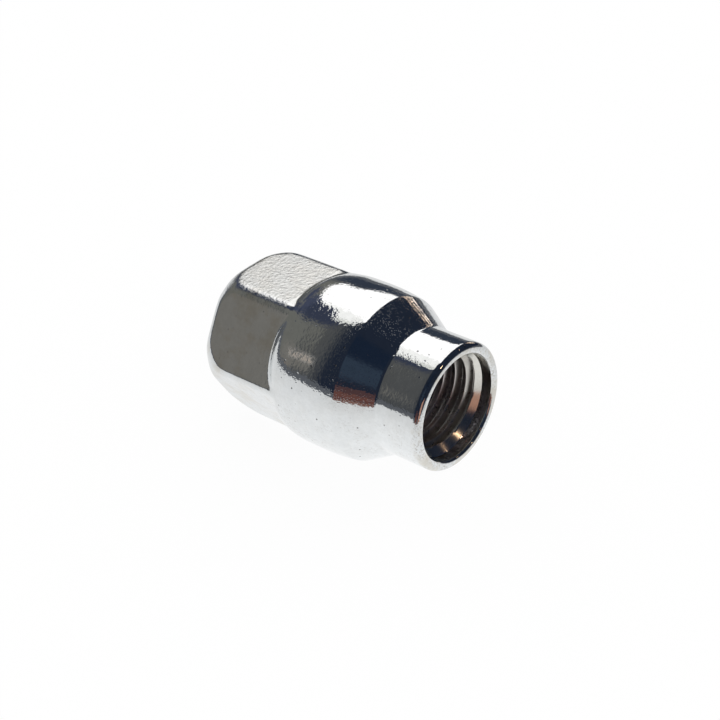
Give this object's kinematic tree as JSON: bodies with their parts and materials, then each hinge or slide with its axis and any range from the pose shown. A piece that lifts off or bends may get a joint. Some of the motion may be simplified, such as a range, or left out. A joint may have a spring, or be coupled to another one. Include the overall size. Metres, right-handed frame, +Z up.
{
  "type": "lug nut",
  "caption": "Chromed steel wheel nut with a hexagon, round collar, conical seat and plain shank around a blind threaded bore.",
  "frame": {"origin": "on the nut's axis, where the conical seat leaves the collar (the seat's large end)", "axes": "the nut's axis leans up from +X towards +Z by 6.94 degrees, out of its open mouth; +Z is up, with the nut lying as it rests, on its collar and on the end of one hexagon flat; +Y is across it"},
  "size_m": [0.0313, 0.0198, 0.0205],
  "materials": {
    "chrome_plate": "bright chrome plate over forged steel, with fine pits and orange peel"
  },
  "bodies": {
    "root": {"lug_nut": "chrome_plate"}
  },
  "joints": []
}
